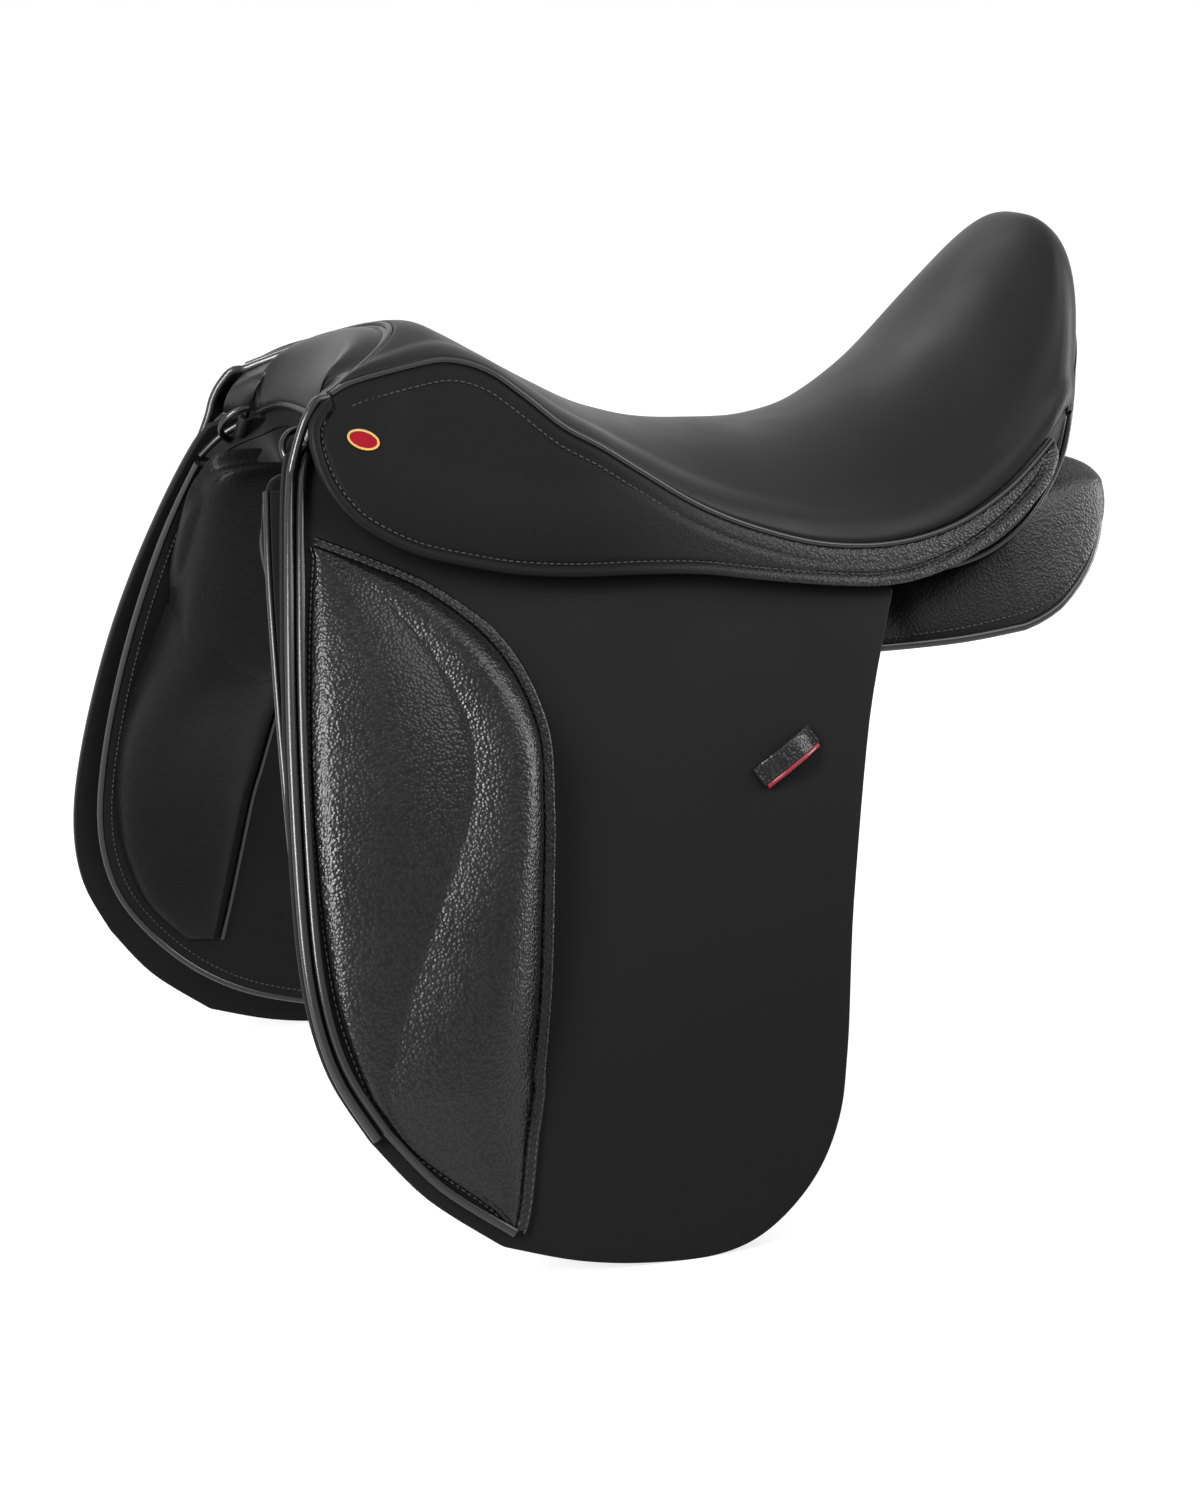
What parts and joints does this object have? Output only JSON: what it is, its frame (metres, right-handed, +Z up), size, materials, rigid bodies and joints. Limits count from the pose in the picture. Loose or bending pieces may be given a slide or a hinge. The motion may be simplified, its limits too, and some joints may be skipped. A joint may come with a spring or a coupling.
{
  "type": "dressage saddle",
  "caption": "Dressage saddle with a deep padded seat, long straight flaps, thigh blocks, folding skirts over stirrup bars and stuffed panels",
  "frame": {"origin": "centre plane, in the channel between the panels, halfway along the saddle", "axes": "+X forward to the pommel, +Y to the left side of the horse, +Z up"},
  "size_m": [0.5126, 0.4588, 0.4902],
  "materials": {
    "smooth_leather": "smooth matt calf",
    "grained_leather": "pebble grain",
    "strap_leather": "smooth bridle leather",
    "red_leather": "piping",
    "tree_wood": "laminated",
    "steel": "forged, brushed",
    "nickel": "polished",
    "gilt": "polished",
    "red_enamel": "glossy",
    "webbing": "woven",
    "foam": "cut foam"
  },
  "bodies": {
    "saddle": {"tree": "tree_wood", "head_plate": "steel", "head_rivets": "steel", "seat_webbing": "webbing", "seat_foam": "foam", "seat_cover": "smooth_leather", "seat_welts": "smooth_leather", "cantle_strap": "smooth_leather", "pommel_facing": "smooth_leather", "skirt_top_left": "smooth_leather", "skirt_top_right": "smooth_leather", "flap_head_left": "smooth_leather", "flap_head_right": "smooth_leather", "head_rolls": "smooth_leather", "stirrup_bar_left": "steel", "stirrup_bar_right": "steel", "bar_rivets": "steel", "sweat_flap_left": "smooth_leather", "sweat_flap_right": "smooth_leather", "front_pad_left": "grained_leather", "front_pad_right": "grained_leather", "panel_left": "grained_leather", "panel_right": "grained_leather", "gullet_lining": "smooth_leather", "girth_webs": "webbing", "dee_chape_left": "strap_leather", "dee_chape_right": "strap_leather"},
    "flap_left": {"flap_left": "smooth_leather", "thigh_block_left": "grained_leather", "edge_rolls_left": "smooth_leather", "keeper_left": "strap_leather", "keeper_piping_left": "red_leather"},
    "skirt_left": {"skirt_leaf_left": "smooth_leather", "badge_rim_left": "gilt", "badge_face_left": "red_enamel"},
    "catch_left": {"bar_catch_left": "steel"},
    "dee_left": {"dee_left": "nickel"},
    "strap_front_left": {"girth_strap_front_left": "strap_leather"},
    "strap_rear_left": {"girth_strap_rear_left": "strap_leather"},
    "flap_right": {"flap_right": "smooth_leather", "thigh_block_right": "grained_leather", "edge_rolls_right": "smooth_leather", "keeper_right": "strap_leather", "keeper_piping_right": "red_leather"},
    "skirt_right": {"skirt_leaf_right": "smooth_leather", "badge_rim_right": "gilt", "badge_face_right": "red_enamel"},
    "catch_right": {"bar_catch_right": "steel"},
    "dee_right": {"dee_right": "nickel"},
    "strap_front_right": {"girth_strap_front_right": "strap_leather"},
    "strap_rear_right": {"girth_strap_rear_right": "strap_leather"}
  },
  "joints": [
    {"name": "flap_lift_left", "type": "hinge", "parent": "saddle", "child": "flap_left", "pos_m": [0.0867, 0.11886, -0.02119], "axis": [0.9489, -0.1889, 0.2528], "range_deg": [0, 65]},
    {"name": "skirt_lift_left", "type": "hinge", "parent": "saddle", "child": "skirt_left", "pos_m": [0.11895, 0.09676, 0.03441], "axis": [0.8949, -0.2373, 0.378], "range_deg": [0, 40]},
    {"name": "catch_turn_left", "type": "hinge", "parent": "saddle", "child": "catch_left", "pos_m": [0.09073, 0.09464, 0.02159], "axis": [0.0282, 0.8083, 0.5881], "range_deg": [0, 45]},
    {"name": "dee_swing_left", "type": "hinge", "parent": "saddle", "child": "dee_left", "pos_m": [0.22079, 0.04753, 0.054], "axis": [-0.022, -0.6291, 0.777], "range_deg": [-12, 12]},
    {"name": "strap_swing_front_left", "type": "hinge", "parent": "saddle", "child": "strap_front_left", "pos_m": [0.06572, 0.10539, -0.01475], "axis": [0.0294, 0.8421, 0.5385], "range_deg": [-4, 1.5]},
    {"name": "strap_swing_rear_left", "type": "hinge", "parent": "saddle", "child": "strap_rear_left", "pos_m": [0.01425, 0.1214, -0.03786], "axis": [0.03, 0.8605, 0.5086], "range_deg": [-1.5, 4]},
    {"name": "flap_lift_right", "type": "hinge", "parent": "saddle", "child": "flap_right", "pos_m": [0.0867, -0.11886, -0.02119], "axis": [-0.9489, -0.1889, -0.2528], "range_deg": [0, 65]},
    {"name": "skirt_lift_right", "type": "hinge", "parent": "saddle", "child": "skirt_right", "pos_m": [0.11895, -0.09676, 0.03441], "axis": [-0.8949, -0.2373, -0.378], "range_deg": [0, 40]},
    {"name": "catch_turn_right", "type": "hinge", "parent": "saddle", "child": "catch_right", "pos_m": [0.09073, -0.09464, 0.02159], "axis": [-0.0282, 0.8083, -0.5881], "range_deg": [0, 45]},
    {"name": "dee_swing_right", "type": "hinge", "parent": "saddle", "child": "dee_right", "pos_m": [0.22079, -0.04753, 0.054], "axis": [0.022, -0.6291, -0.777], "range_deg": [-12, 12]},
    {"name": "strap_swing_front_right", "type": "hinge", "parent": "saddle", "child": "strap_front_right", "pos_m": [0.06572, -0.10539, -0.01475], "axis": [-0.0294, 0.8421, -0.5385], "range_deg": [-4, 1.5]},
    {"name": "strap_swing_rear_right", "type": "hinge", "parent": "saddle", "child": "strap_rear_right", "pos_m": [0.01425, -0.1214, -0.03786], "axis": [-0.03, 0.8605, -0.5086], "range_deg": [-1.5, 4]}
  ]
}
